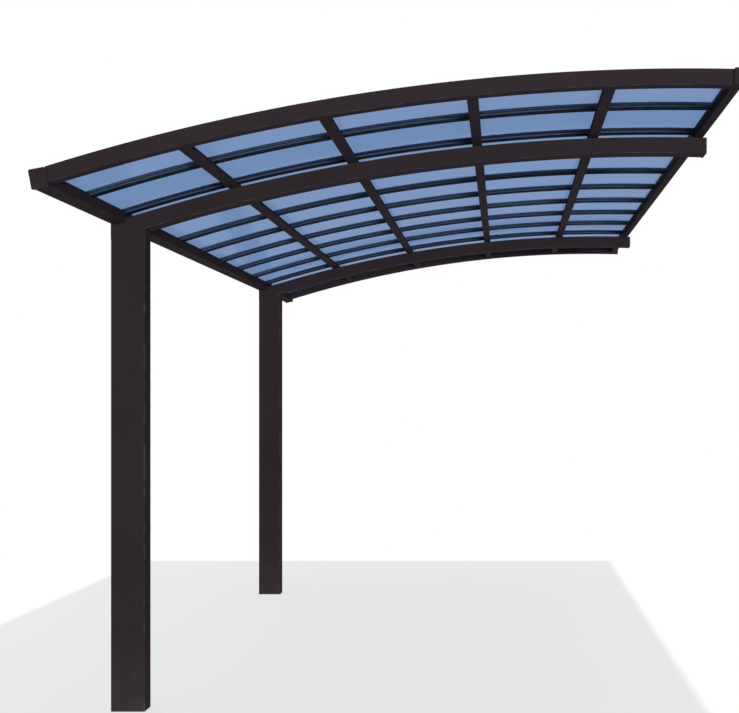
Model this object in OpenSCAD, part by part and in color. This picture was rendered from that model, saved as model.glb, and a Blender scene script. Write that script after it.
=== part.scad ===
// Cantilever arched canopy: two posts carry curved arms, and the arms carry an arched sheet roof.
// Origin at the centre of the front post's foot, +X towards the free high edge,
// +Y along the roof towards the rear post, +Z up. Millimetres.

/* [Posts] */
// Width of each post across the roof's span
post_w = 170; // [120:1:220]
// Depth of the posts and the arms, along the roof
frame_d = 100; // [80:1:140]
// Wall of the post section
post_wall = 4; // [3:0.5:8]
// Outside corner radius of the post section
post_corner_r = 5; // [2:0.5:12]
// Thickness of the plate that closes each post's foot
foot_plate_t = 8; // [5:1:20]

/* [Roof arc] */
// Height of the roof's crest above the ground
crest_h = 2937; // [2600:1:3300]
// Distance from the posts' centre line to the crest
crest_x = 2650; // [2400:1:2800]
// Radius of the fascias' top edge
roof_r = 9000; // [7000:10:12000]

/* [Arms] */
// Depth of the arm section
arm_h = 80; // [60:1:120]
// Wall of the arm section
arm_wall = 4; // [3:0.5:8]
// Outside corner radius of the arm section
arm_corner_r = 4; // [2:0.5:10]
// How far the arms run on past the high beam
arm_overrun = 4; // [4:1:40]
// Thickness of the cap on the free end of each arm
arm_cap_t = 12; // [6:1:25]
// How far that cap stands proud of the arm's sides and underside
arm_cap_lip = 1; // [1:0.5:6]
// Radius of that cap's lower outer edge
arm_cap_r = 3; // [2:0.5:12]
// Thickness of the flush plate in the arm's low end
arm_plug_t = 3; // [2:0.5:8]

/* [Sheets] */
// Spacing of the sheet joints along the roof
sheet_pitch = 500; // [400:1:700]
// Sheets that overhang each arm, towards the roof's end
end_sheet_count = 2; // [1:1:3]
// Sheets between the two arms
middle_sheet_count = 7; // [5:1:9]
// Thickness of the sheets
sheet_t = 4; // [3:0.5:8]
// How far the sheets run on past the gutter's ledge
sheet_lip = 10; // [5:1:14]
// Room for the sheets to grow at their edges
sheet_edge_gap = 2; // [1:0.5:5]

/* [Glazing bars] */
// Width of the bars under the joints and of the strips over them
bar_w = 40; // [30:1:60]
// Depth of the bar under the joint
bar_h = 15; // [8:0.5:20]
// Wall of the bars and the strips
bar_wall = 2; // [1.5:0.25:3]
// Width of the rib between two sheets
bar_rib_w = 6; // [4:0.5:10]
// Depth of the strip over the joint
cover_h = 10; // [6:0.5:14]
// Radius of the strip's upper edges
cover_r = 3; // [1:0.5:5]

/* [Purlins] */
// Width of the purlins
purlin_w = 50; // [30:1:70]
// Depth of the purlins
purlin_h = 25; // [20:1:50]
// Wall of the purlins
purlin_wall = 2.5; // [1.5:0.5:5]
// Outside corner radius of the purlins
purlin_corner_r = 2; // [1:0.5:5]

/* [Fascias] */
// Width of the arched fascias, along the roof
fascia_w = 60; // [45:1:90]
// Height that the fascias rise above the sheets
fascia_rise = 17.6; // [15:0.2:40]
// How far the fascias hang below the purlins
fascia_drop = 7; // [0:0.5:20]
// Wall of the fascias and the high beam
edge_wall = 3; // [2:0.5:4]
// Outside corner radius of the fascias and the high beam
edge_corner_r = 3; // [1:0.5:6]
// Depth of the slot that takes the sheets' edges
slot_d = 16; // [12:1:20]

/* [Gutter] */
// Width of the gutter
gutter_w = 65; // [55:1:90]
// Height of the gutter's outer wall
gutter_h = 77; // [68:1:110]
// Tilt of the gutter's floor
gutter_tilt = 10.5; // [4:0.5:16]
// Distance from the posts' outer faces to the gutter's lower outer corner
gutter_set_in = 10; // [8:0.5:20]
// How deep that corner is let into the arms
gutter_sink = 14.5; // [6:0.5:20]
// Wall of the gutter
gutter_wall = 3; // [2:0.5:6]
// Radius of the gutter's lower edges
gutter_r = 3; // [2:0.5:8]
// Width of the ledge that carries the sheets' low ends
gutter_ledge_w = 12; // [8:1:16]
// Width of the turned-in lip on the outer wall
gutter_lip_w = 8; // [5:1:12]

/* [High beam] */
// Distance from the posts' centre line to the high beam's centre
high_beam_x = 2859; // [2750:1:3100]
// Width of the high beam
high_beam_w = 40; // [38:1:80]
// How far the drip edge stands out past the beam
drip_w = 22; // [10:1:40]
// Height of the drip edge's turned-down face
drip_h = 14; // [8:1:20]

/* [End caps] */
// Thickness of the caps on the gutter and the high beam
end_cap_t = 12; // [4:1:20]
// How far the caps stand proud of the sections' sides and tops
end_cap_lip = 3; // [1:0.5:8]
// How far the caps hang below the sections
end_cap_drop = 5; // [3:1:30]
// Corner radius of the caps
end_cap_r = 6; // [2:0.5:12]

/* [Hidden] */
// Clearance where one piece seats on another
seat_gap = 0.2;
// Overrun of the cuts
cut_over = 1;
// Facets of the roof's arcs and of the corner radii
arc_fn = 720;
corner_fn = 24;
// Places of the purlins, as shares of the arc from the posts to the high beam
purlin_shares = [0.190, 0.399, 0.6165, 0.817];

// Heights above the plane that the roof members stand on
bar_low = purlin_h + seat_gap;
bar_high = bar_low + bar_h;
sheet_low = bar_high + seat_gap;
sheet_high = sheet_low + sheet_t;
cover_low = sheet_high + seat_gap;
slot_low = sheet_low - seat_gap;
slot_high = sheet_high + seat_gap;
fascia_h = sheet_high + fascia_rise;

// Radii and centre of the roof's arcs
base_r = roof_r - fascia_h;
arm_top_r = base_r - seat_gap;
arm_low_r = arm_top_r - arm_h;
centre_z = crest_h - roof_r;

// Stations along the roof
joint_count = 2 * end_sheet_count + middle_sheet_count - 1;
sheet_count = joint_count + 1;
purlin_count = len(purlin_shares);
rear_y = middle_sheet_count * sheet_pitch;
roof_front_y = -end_sheet_count * sheet_pitch - fascia_w / 2;
roof_rear_y = rear_y + end_sheet_count * sheet_pitch + fascia_w / 2;
inner_front_y = roof_front_y + fascia_w;
inner_rear_y = roof_rear_y - fascia_w;

// Stations across the span
outer_x = -post_w / 2;
gutter_x = outer_x + gutter_set_in;
arm_start_x = outer_x + arm_plug_t + seat_gap;
arm_end_x = high_beam_x + high_beam_w / 2 + arm_overrun;

// Height of the gutter's lower outer corner, and of its ledge above the gutter's floor
gutter_z = arc_z(base_r, gutter_x) - gutter_sink;
ledge_t = gutter_w - gutter_ledge_w;
ledge_low = gutter_reach(ledge_t, base_r + slot_low);
ledge_high = gutter_reach(gutter_w, base_r + slot_low);
ledge_x = gutter_x + ledge_t * cos(gutter_tilt) - ledge_low * sin(gutter_tilt);

// Angles from the vertical through the crest
post_phi = arc_phi(base_r, 0);
high_phi = arc_phi(base_r, high_beam_x);
bar_start_phi = arc_phi(base_r + slot_low, ledge_x);
bar_end_phi = high_phi - step_phi(high_beam_w / 2 + seat_gap);
sheet_start_phi = bar_start_phi - step_phi(sheet_lip);
sheet_end_phi = high_phi - step_phi(high_beam_w / 2 - slot_d + sheet_edge_gap);
arm_start_phi = arc_phi(arm_low_r, outer_x - cut_over);
arm_end_phi = arc_phi(arm_low_r, arm_end_x + cut_over);

// Finishes
bronze = [0.19, 0.165, 0.185];
charcoal = [0.07, 0.07, 0.085];
blue_clear = [0.46, 0.57, 0.74, 0.6];

// Angle at which the arc of radius r passes the station x
function arc_phi(r, x) = asin((x - crest_x) / r);

// Angle that a step t along the roof members' plane subtends
function step_phi(t) = atan(t / base_r);

// Height of the arc of radius r at the station x
function arc_z(r, x) = centre_z + sqrt(r * r - (x - crest_x) * (x - crest_x));

// Height above the gutter's floor at which the offset t meets the arc of radius r
function gutter_reach(t, r) =
    let (
        x = gutter_x + t * cos(gutter_tilt) - crest_x,
        z = gutter_z + t * sin(gutter_tilt) - centre_z,
        rise = z * cos(gutter_tilt) - x * sin(gutter_tilt)
    ) sqrt(rise * rise + r * r - x * x - z * z) - rise;

// Station along the roof of the joint i, counted from the front
function joint_y(i) = (i - end_sheet_count) * sheet_pitch;

// Rectangle with rounded corners, its low corner at the origin
module rounded_box_2d(w, h, r) {
    translate([r, 0]) square([w - 2 * r, h]);
    translate([0, r]) square([w, h - 2 * r]);
    for (x = [r, w - r])
        for (y = [r, h - r])
            translate([x, y]) circle(r = r, $fn = corner_fn);
}

// Hollow box section with rounded outside corners
module tube_2d(w, h, r, wall) {
    difference() {
        rounded_box_2d(w, h, r);
        translate([wall, wall]) square([w - 2 * wall, h - 2 * wall]);
    }
}

// Two-chamber box section that hangs down by drop, with a slot for the sheets in its far side
module slotted_box_2d(w, drop) {
    difference() {
        translate([0, -drop]) rounded_box_2d(w, fascia_h + drop, edge_corner_r);
        translate([edge_wall, edge_wall - drop])
            square([w - 2 * edge_wall, slot_low + drop - 2 * edge_wall]);
        translate([edge_wall, slot_high + edge_wall])
            square([w - 2 * edge_wall, fascia_h - slot_high - 2 * edge_wall]);
        translate([w - slot_d, slot_low])
            square([slot_d + cut_over, slot_high - slot_low]);
    }
}

// Sweeps a section of radius and station along the roof's arc
module along_arc(phi_0, phi_1) {
    translate([crest_x, 0, centre_z])
        rotate([0, -90, -90])
            rotate([0, 0, phi_0])
                rotate_extrude(angle = phi_1 - phi_0, $fn = arc_fn)
                    children();
}

// Runs a section of offset and height along the roof, square to the arc at one angle
module along_roof(phi, y_0, y_1) {
    translate([crest_x, 0, centre_z])
        rotate([0, phi, 0])
            translate([0, y_1, base_r])
                rotate([90, 0, 0])
                    linear_extrude(height = y_1 - y_0)
                        children();
}

// Runs a section of offset and height along the roof, square to the gutter's floor
module along_gutter(y_0, y_1) {
    translate([gutter_x, y_1, gutter_z])
        rotate([0, -gutter_tilt, 0])
            rotate([90, 0, 0])
                linear_extrude(height = y_1 - y_0)
                    children();
}

// Room that the gutter takes up at one station, out past the posts, for a piece of width w
module gutter_room(y, w) {
    along_gutter(y - w, y + w)
        translate([-gutter_w, -gutter_h])
            square([2 * gutter_w + seat_gap, 3 * gutter_h]);
}

// Upright slab between two stations across the span, round one arm
module arm_slab(x_0, x_1, y) {
    translate([x_0, y - frame_d, 0])
        cube([x_1 - x_0, 2 * frame_d, crest_h]);
}

// Post at one station, its top cut to the arm's underside
module post(y) {
    color(bronze)
        intersection() {
            translate([outer_x, y - frame_d / 2, 0])
                difference() {
                    linear_extrude(height = crest_h)
                        rounded_box_2d(post_w, frame_d, post_corner_r);
                    translate([post_wall, post_wall, foot_plate_t])
                        cube([post_w - 2 * post_wall, frame_d - 2 * post_wall, crest_h]);
                }
            translate([crest_x, y + frame_d, centre_z])
                rotate([90, 0, 0])
                    cylinder(r = arm_low_r - seat_gap, h = 2 * frame_d, $fn = arc_fn);
        }
}

// Curved box arm at one station, its top notched for the gutter
module arm(y) {
    color(bronze)
        difference() {
            intersection() {
                along_arc(arm_start_phi, arm_end_phi)
                    translate([arm_low_r, y - frame_d / 2])
                        tube_2d(arm_h, frame_d, arm_corner_r, arm_wall);
                arm_slab(arm_start_x, arm_end_x, y);
            }
            along_gutter(y - frame_d, y + frame_d)
                translate([-seat_gap, -seat_gap])
                    square([gutter_w + 2 * seat_gap, gutter_h]);
        }
}

// Flush plate in the arm's low end
module arm_plug(y) {
    intersection() {
        along_arc(arm_start_phi, arm_end_phi)
            translate([arm_low_r, y - frame_d / 2])
                rounded_box_2d(arm_h, frame_d, arm_corner_r);
        arm_slab(outer_x, outer_x + arm_plug_t, y);
    }
}

// Cap on the arm's free end, with a rounded lower outer edge
module arm_cap(y) {
    cap_low = arc_z(arm_low_r, arm_end_x) - arm_cap_lip;
    cap_h = arc_z(arm_top_r, arm_end_x) - cap_low;
    translate([arm_end_x + seat_gap, y + frame_d / 2 + arm_cap_lip, cap_low])
        rotate([90, 0, 0])
            linear_extrude(height = frame_d + 2 * arm_cap_lip)
                intersection() {
                    square([arm_cap_t, cap_h]);
                    translate([arm_cap_t - arm_cap_r, arm_cap_r]) {
                        circle(r = arm_cap_r, $fn = corner_fn);
                        translate([-arm_cap_t, -arm_cap_r]) square([arm_cap_t, cap_h]);
                        translate([-arm_cap_t, 0]) square([2 * arm_cap_t, cap_h]);
                    }
                }
}

module arm_end_caps() {
    color(bronze)
        for (y = [0, rear_y]) {
            arm_plug(y);
            arm_cap(y);
        }
}

// Open trough along the low edge, with a ledge for the sheets and a turned-in outer lip
module gutter() {
    ledge_foot = ledge_low - gutter_wall;
    color(bronze)
        along_gutter(roof_front_y, roof_rear_y) {
            difference() {
                tube_2d(gutter_w, gutter_h, gutter_r, gutter_wall);
                translate([gutter_wall + gutter_lip_w, ledge_foot])
                    square([gutter_w, gutter_h]);
            }
            polygon([
                [ledge_t, ledge_foot],
                [gutter_w, ledge_foot],
                [gutter_w, ledge_high],
                [ledge_t, ledge_low]
            ]);
        }
}

// Beam along the free high edge, slotted for the sheets, with an outward drip edge
module high_beam() {
    color(bronze)
        along_roof(high_phi, roof_front_y, roof_rear_y)
            translate([high_beam_w / 2, 0]) {
                mirror([1, 0]) slotted_box_2d(high_beam_w, 0);
                translate([-edge_corner_r, fascia_h - edge_wall])
                    square([edge_corner_r + drip_w, edge_wall]);
                translate([drip_w - edge_wall, fascia_h - drip_h])
                    square([edge_wall, drip_h]);
            }
}

// Outline of a cap round a section of width w and height h
module end_cap_2d(w, h) {
    translate([-end_cap_lip, -end_cap_drop])
        rounded_box_2d(w + 2 * end_cap_lip, h + end_cap_lip + end_cap_drop, end_cap_r);
}

module edge_end_caps() {
    color(bronze)
        for (y = [roof_front_y - seat_gap - end_cap_t, roof_rear_y + seat_gap]) {
            along_gutter(y, y + end_cap_t)
                end_cap_2d(gutter_w, gutter_h);
            along_roof(high_phi, y, y + end_cap_t)
                translate([-high_beam_w / 2, 0])
                    end_cap_2d(high_beam_w + drip_w, fascia_h);
        }
}

// Arched fascia, its outer face at one station and its slot towards the sheets
module fascia(y, side) {
    color(bronze)
        difference() {
            along_arc(bar_start_phi, bar_end_phi)
                translate([base_r, y])
                    mirror([0, side < 0 ? 1 : 0])
                        mirror([1, -1])
                            slotted_box_2d(fascia_w, fascia_drop);
            gutter_room(y, 2 * fascia_w);
        }
}

// Straight box purlin between the fascias
module purlin(i) {
    phi = post_phi + purlin_shares[i - 1] * (high_phi - post_phi);
    color(bronze)
        along_roof(phi, inner_front_y + seat_gap, inner_rear_y - seat_gap)
            translate([-purlin_w / 2, 0])
                tube_2d(purlin_w, purlin_h, purlin_corner_r, purlin_wall);
}

// Arched two-chamber bar under the joint i, with a rib up between the sheets
module glazing_bar(i) {
    chamber_w = (bar_w - bar_rib_w) / 2 - bar_wall;
    color(charcoal)
        difference() {
            along_arc(bar_start_phi, bar_end_phi)
                translate([base_r + bar_low, joint_y(i)]) {
                    difference() {
                        translate([0, -bar_w / 2]) square([bar_h, bar_w]);
                        for (y = [bar_wall - bar_w / 2, bar_rib_w / 2])
                            translate([bar_wall, y])
                                square([bar_h - 2 * bar_wall, chamber_w]);
                    }
                    translate([bar_h - bar_wall, -bar_rib_w / 2])
                        square([bar_wall + sheet_t, bar_rib_w]);
                }
            gutter_room(joint_y(i), bar_w);
        }
}

// Arched cover strip over the joint i: two legs on the sheets and a rib on the bar
module cover_strip(i) {
    leg_h = cover_h - bar_wall;
    chamber_w = (bar_w - bar_rib_w) / 2 - bar_wall;
    color(bronze)
        along_arc(sheet_start_phi, bar_end_phi)
            translate([base_r + cover_low, joint_y(i)])
                difference() {
                    union() {
                        translate([0, -bar_w / 2]) square([cover_h - cover_r, bar_w]);
                        translate([0, cover_r - bar_w / 2]) square([cover_h, bar_w - 2 * cover_r]);
                        for (y = [cover_r - bar_w / 2, bar_w / 2 - cover_r])
                            translate([cover_h - cover_r, y]) circle(r = cover_r, $fn = corner_fn);
                    }
                    for (y = [bar_wall - bar_w / 2, bar_rib_w / 2])
                        translate([-cut_over, y])
                            square([leg_h + cut_over, chamber_w]);
                }
}

// Arched clear sheet i, from rib to rib, with the end sheets reaching into the fascias' slots
module roof_sheet(i) {
    rib_side = bar_rib_w / 2 + sheet_edge_gap;
    slot_side = slot_d - sheet_edge_gap;
    y_0 = i == 1 ? inner_front_y - slot_side : joint_y(i - 1) + rib_side;
    y_1 = i == sheet_count ? inner_rear_y + slot_side : joint_y(i) - rib_side;
    color(blue_clear)
        along_arc(sheet_start_phi, sheet_end_phi)
            translate([base_r + sheet_low, y_0])
                square([sheet_t, y_1 - y_0]);
}

post(0);  // front_post
post(rear_y);  // rear_post
arm(0);  // front_arm
arm(rear_y);  // rear_arm
arm_end_caps();
gutter();
high_beam();
edge_end_caps();
fascia(roof_front_y, 1);  // front_fascia
fascia(roof_rear_y, -1);  // rear_fascia
for (i = [1:purlin_count])
    purlin(i);
for (i = [1:joint_count])
    glazing_bar(i);
for (i = [1:joint_count])
    cover_strip(i);
for (i = [1:sheet_count])
    roof_sheet(i);
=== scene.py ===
"""Dressed scene of a cantilever arched canopy: a coated metal frame under a clear sheet roof.

Metres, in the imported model's frame: the origin is at the centre of the front post's foot, +X runs
towards the free high edge, +Y along the roof towards the rear post, and +Z up.
"""
import logging
import math
from collections.abc import Callable, Iterable, Sequence
from dataclasses import dataclass, field
from enum import Enum
from typing import Any, NamedTuple, Protocol

import bmesh
import bpy
from mathutils import Matrix, Vector


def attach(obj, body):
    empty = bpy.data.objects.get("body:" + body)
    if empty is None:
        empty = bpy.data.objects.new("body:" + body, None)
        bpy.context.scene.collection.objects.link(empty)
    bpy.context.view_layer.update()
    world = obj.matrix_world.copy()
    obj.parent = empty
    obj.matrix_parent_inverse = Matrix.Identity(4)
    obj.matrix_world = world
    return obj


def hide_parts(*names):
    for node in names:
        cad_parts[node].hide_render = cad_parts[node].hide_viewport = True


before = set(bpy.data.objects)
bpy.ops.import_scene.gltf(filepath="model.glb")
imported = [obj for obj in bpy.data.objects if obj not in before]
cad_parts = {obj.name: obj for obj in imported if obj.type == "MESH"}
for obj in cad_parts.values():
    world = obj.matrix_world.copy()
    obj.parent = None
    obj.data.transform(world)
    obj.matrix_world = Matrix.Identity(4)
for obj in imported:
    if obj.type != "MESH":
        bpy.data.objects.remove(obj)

LOG = logging.getLogger("canopy")
# Face attribute of the fillets, which the coat lightens: partly scuffing, partly a painted edge
# highlight.
EDGE_SCUFF_AND_HIGHLIGHT = "edge_scuff_and_highlight"

Colour = tuple[float, float, float]
Point = tuple[float, float, float]
Corner = tuple[float, float, float]
Span = tuple[float, float]


class Slot(Enum):
    """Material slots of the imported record."""

    FRAME = "frame"
    GLAZING_BAR = "glazing_bar"
    ROOF_SHEET = "roof_sheet"


class End(Enum):
    """The two ends of the roof along +Y, with the way that each faces."""

    FRONT = -1
    REAR = 1


@dataclass(frozen=True)
class Layout:
    """Sizes that several assemblies share, and the stations and heights that follow from them.

    Heights named low and high are measured square to the roof, above the circle on which the
    purlins and the high beam stand.
    """

    post_w: float = 0.170
    frame_d: float = 0.100
    crest_h: float = 2.937
    crest_x: float = 2.650
    roof_r: float = 9.000
    arm_h: float = 0.080
    sheet_pitch: float = 0.500
    end_sheet_count: int = 2
    middle_sheet_count: int = 7
    sheet_t: float = 0.004
    purlin_h: float = 0.025
    bar_w: float = 0.040
    bar_h: float = 0.015
    bar_wall: float = 0.002
    bar_rib_w: float = 0.006
    cover_h: float = 0.010
    fascia_w: float = 0.060
    fascia_rise: float = 0.0176
    fascia_drop: float = 0.007
    slot_d: float = 0.016
    gutter_w: float = 0.065
    gutter_h: float = 0.077
    gutter_tilt: float = math.radians(10.5)
    gutter_set_in: float = 0.010
    gutter_sink: float = 0.0145
    gutter_ledge_w: float = 0.012
    sheet_lip: float = 0.010
    sheet_edge_gap: float = 0.002
    high_beam_x: float = 2.859
    high_beam_w: float = 0.040
    drip_w: float = 0.022
    seat_gap: float = 0.0002

    @property
    def bar_low(self) -> float:
        """Height of the glazing bars' underside."""
        return self.purlin_h + self.seat_gap

    @property
    def bar_high(self) -> float:
        """Height of the glazing bars' seats."""
        return self.bar_low + self.bar_h

    @property
    def sheet_low(self) -> float:
        """Height of the sheets' underside."""
        return self.bar_high + self.seat_gap

    @property
    def sheet_high(self) -> float:
        """Height of the sheets' top."""
        return self.sheet_low + self.sheet_t

    @property
    def cover_low(self) -> float:
        """Height of the cover strips' feet."""
        return self.sheet_high + self.seat_gap

    @property
    def slot_low(self) -> float:
        """Height of the lower face of the slots that take the sheets."""
        return self.sheet_low - self.seat_gap

    @property
    def slot_high(self) -> float:
        """Height of the upper face of the slots that take the sheets."""
        return self.sheet_high + self.seat_gap

    @property
    def fascia_h(self) -> float:
        """Height of the fascias and the high beam."""
        return self.sheet_high + self.fascia_rise

    @property
    def base_r(self) -> float:
        """Radius of the circle that the roof's members stand on."""
        return self.roof_r - self.fascia_h

    @property
    def arm_top_r(self) -> float:
        """Radius of the arms' top."""
        return self.base_r - self.seat_gap

    @property
    def arm_low_r(self) -> float:
        """Radius of the arms' underside."""
        return self.arm_top_r - self.arm_h

    @property
    def centre(self) -> Vector:
        """Centre of the roof's circle, in the plane of the front post."""
        return Vector((self.crest_x, 0.0, self.crest_h - self.roof_r))

    @property
    def joint_count(self) -> int:
        """Number of joints between sheets."""
        return 2 * self.end_sheet_count + self.middle_sheet_count - 1

    @property
    def rear_y(self) -> float:
        """Station of the rear post."""
        return self.middle_sheet_count * self.sheet_pitch

    @property
    def roof_front_y(self) -> float:
        """Station of the front fascia's outer face."""
        return -self.end_sheet_count * self.sheet_pitch - self.fascia_w / 2

    @property
    def roof_rear_y(self) -> float:
        """Station of the rear fascia's outer face."""
        return self.rear_y + self.end_sheet_count * self.sheet_pitch + self.fascia_w / 2

    @property
    def outer_x(self) -> float:
        """Station of the posts' outer faces."""
        return -self.post_w / 2

    @property
    def gutter_frame(self) -> Matrix:
        """Frame at the gutter's lower outer corner, its X across and its Y along the trough."""
        x = self.outer_x + self.gutter_set_in
        corner = Vector((x, 0.0, self.height_at(self.base_r, x) - self.gutter_sink))
        return Matrix.Translation(corner) @ Matrix.Rotation(-self.gutter_tilt, 4, "Y")

    @property
    def ledge_point(self) -> Vector:
        """Free edge of the gutter's ledge under the sheets, in the plane of the front post."""
        return self.beside_gutter(self.gutter_w - self.gutter_ledge_w, self.base_r + self.slot_low)

    @property
    def high_phi(self) -> float:
        """Angle of the high beam's middle from the vertical through the crest."""
        return self.angle_at(self.base_r, self.high_beam_x)

    @property
    def bar_phis(self) -> Span:
        """Angles between which the bars and the fascias run, from the ledge to the high beam."""
        return (
            self.angle_at(self.base_r + self.slot_low, self.ledge_point.x),
            self.high_phi - self.angle_of(self.high_beam_w / 2 + self.seat_gap),
        )

    @property
    def sheet_phis(self) -> Span:
        """Angles between which the sheets run, from the gutter's ledge into the beam's slot."""
        reach = self.high_beam_w / 2 - self.slot_d + self.sheet_edge_gap
        low = self.bar_phis[0] - self.angle_of(self.sheet_lip)
        return low, self.high_phi - self.angle_of(reach)

    def beside_gutter(self, offset: float, radius: float) -> Vector:
        """Finds where an upright of the gutter's frame meets a circle of the roof.

        Args:
            offset: Distance of the upright from the gutter's outer wall.
            radius: Radius of the circle.

        Returns:
            The point, in the plane of the front post.
        """
        place = self.gutter_frame
        foot = place @ Vector((offset, 0, 0)) - self.centre
        up = place.to_3x3() @ Vector((0, 0, 1))
        rise = foot.dot(up)
        reach = math.sqrt(rise**2 + radius**2 - foot.length_squared) - rise
        return self.centre + foot + up * reach

    def angle_at(self, radius: float, x: float) -> float:
        """Finds where a circle of the roof passes a station across the span.

        Args:
            radius: Radius of the circle.
            x: Station across the span.

        Returns:
            Angle from the vertical through the crest, positive towards +X.
        """
        return math.asin((x - self.crest_x) / radius)

    def angle_of(self, step: float) -> float:
        """Gives the angle that a short step along the members' circle subtends."""
        return math.atan(step / self.base_r)

    def height_at(self, radius: float, x: float) -> float:
        """Gives a roof circle's height above the ground at a station across the span."""
        return self.centre.z + math.sqrt(radius**2 - (x - self.crest_x) ** 2)

    def joint_y(self, number: int) -> float:
        """Gives the station of a joint between sheets, counted from 1 at the front."""
        return (number - self.end_sheet_count) * self.sheet_pitch

    def roof_frame(self, phi: float) -> Matrix:
        """Gives the frame that stands on the members' circle at an angle.

        Args:
            phi: Angle from the vertical through the crest.

        Returns:
            Matrix whose X runs along the arc, whose Y runs along the roof and whose Z stands
            square to the roof.
        """
        turn = Matrix.Rotation(phi, 4, "Y")
        return Matrix.Translation(self.centre) @ turn @ Matrix.Translation((0, 0, self.base_r))


def box_outline(across: Span, up: Span, radius: float = 0.0) -> list[Corner]:
    """Gives the outline of a box section.

    Args:
        across: Offsets of its two sides.
        up: Heights of its underside and its top.
        radius: Radius of its four corners.

    Returns:
        The four corners in turn.
    """
    (left, right), (low, high) = across, up
    return [(left, low, radius), (right, low, radius), (right, high, radius), (left, high, radius)]


class Signal:
    """A shader socket that Python arithmetic extends with Math nodes."""

    def __init__(self, graph: "NodeGraph", socket: bpy.types.NodeSocket | None) -> None:
        """Keeps the socket and the graph that it belongs to."""
        self.graph = graph
        self.socket = socket

    def _math(self, operation: str, left: "Signal | float", right: "Signal | float") -> "Signal":
        """Adds a clamp-free Math node for an operation on two values."""
        return self.graph.add("ShaderNodeMath", {"operation": operation}, {0: left, 1: right})

    def __add__(self, other: "Signal | float") -> "Signal":
        """Adds a value."""
        return self._math("ADD", self, other)

    def __radd__(self, other: float) -> "Signal":
        """Adds to a number."""
        return self._math("ADD", other, self)

    def __sub__(self, other: "Signal | float") -> "Signal":
        """Subtracts a value."""
        return self._math("SUBTRACT", self, other)

    def __rsub__(self, other: float) -> "Signal":
        """Subtracts from a number."""
        return self._math("SUBTRACT", other, self)

    def __mul__(self, other: "Signal | float") -> "Signal":
        """Multiplies by a value."""
        return self._math("MULTIPLY", self, other)

    def __rmul__(self, other: float) -> "Signal":
        """Multiplies a number."""
        return self._math("MULTIPLY", other, self)

    def __pow__(self, power: float) -> "Signal":
        """Raises to a power."""
        return self._math("POWER", self, power)

    def __rpow__(self, base: float) -> "Signal":
        """Raises a number to this power."""
        return self._math("POWER", base, self)


class NodeGraph:
    """The node tree of one material or world, filled node by node."""

    NOISE_ROUGHNESS: float = 0.55

    def __init__(self, tree: bpy.types.NodeTree) -> None:
        """Takes a tree and empties it."""
        self.tree = tree
        tree.nodes.clear()

    def add(
        self,
        kind: str,
        settings: dict[str, Any] | None = None,
        sockets: dict[int | str, Any] | None = None,
        output: int | str = 0,
    ) -> Signal:
        """Makes a node.

        Args:
            kind: Type of the node.
            settings: Properties of the node, which are set before its sockets.
            sockets: Values or links of its input sockets, by name or index.
            output: Name or index of the output that is wanted.

        Returns:
            The wanted output, which is empty on a node that ends the graph.
        """
        node = self.tree.nodes.new(kind)
        for name, value in (settings or {}).items():
            setattr(node, name, value)
        for key, value in (sockets or {}).items():
            if isinstance(value, Signal):
                self.tree.links.new(value.socket, node.inputs[key])
            else:
                node.inputs[key].default_value = value
        return Signal(self, node.outputs[output] if node.outputs else None)

    def object_point(self) -> Signal:
        """Gives the point of the surface in the object's own frame."""
        return self.add("ShaderNodeTexCoord", output="Object")

    def noise(self, point: Signal, scale: float, detail: float = 2.0) -> Signal:
        """Gives a noise value.

        Args:
            point: Where the noise is read.
            scale: Blotches in a metre.
            detail: Octaves of finer noise.

        Returns:
            A value round 0.5.
        """
        sockets = {
            "Vector": point,
            "Scale": scale,
            "Detail": detail,
            "Roughness": self.NOISE_ROUGHNESS,
        }
        return self.add("ShaderNodeTexNoise", None, sockets)

    def stretched(self, point: Signal, scale: Point) -> Signal:
        """Scales a point along the three axes, for grain and streaks."""
        return self.add("ShaderNodeMapping", None, {"Vector": point, "Scale": scale})

    def ramp(self, value: Signal, low: float, high: float) -> Signal:
        """Gives a smooth step that is 0 at low and 1 at high."""
        settings = {"interpolation_type": "SMOOTHSTEP"}
        return self.add("ShaderNodeMapRange", settings, {"Value": value, 1: low, 2: high})

    def axis(self, vector: Signal, name: str) -> Signal:
        """Takes the part of a vector along the axis X, Y or Z."""
        return self.add("ShaderNodeSeparateXYZ", None, {0: vector}, name)

    def tint(self, share: Signal, low: "Signal | Colour", high: "Signal | Colour") -> Signal:
        """Blends two colours.

        Args:
            share: Share of the second colour.
            low: First colour.
            high: Second colour.

        Returns:
            The blended colour.
        """
        colours = [c if isinstance(c, Signal) else (*c, 1.0) for c in (low, high)]
        settings = {"data_type": "RGBA", "clamp_factor": True}
        return self.add("ShaderNodeMix", settings, {0: share, 6: colours[0], 7: colours[1]}, 2)

    def bump(self, height: Signal, strength: float, distance: float) -> Signal:
        """Turns a height into a bent normal."""
        sockets = {"Height": height, "Strength": strength, "Distance": distance}
        return self.add("ShaderNodeBump", None, sockets)

    def principled(self, sockets: dict[int | str, Any]) -> Signal:
        """Makes the shader that most finishes are laid on, with the given sockets."""
        return self.add("ShaderNodeBsdfPrincipled", None, sockets)

    def surface(self, shader: Signal) -> None:
        """Links a shader to the material's output."""
        self.add("ShaderNodeOutputMaterial", None, {"Surface": shader})


class Finish(Protocol):
    """What every finish offers: a name, and a method that fills a node graph."""

    name: str

    def paint(self, graph: NodeGraph) -> None:
        """Fills the graph of the finish's material."""


def material_of(finish: Finish) -> bpy.types.Material:
    """Gives the material of a finish, and makes it the first time.

    Args:
        finish: The finish that is wanted.

    Returns:
        The one material of that finish.
    """
    material = bpy.data.materials.get(finish.name)
    if material is None:
        material = bpy.data.materials.new(finish.name)
        material.use_nodes = True
        finish.paint(NodeGraph(material.node_tree))
    return material


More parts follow.
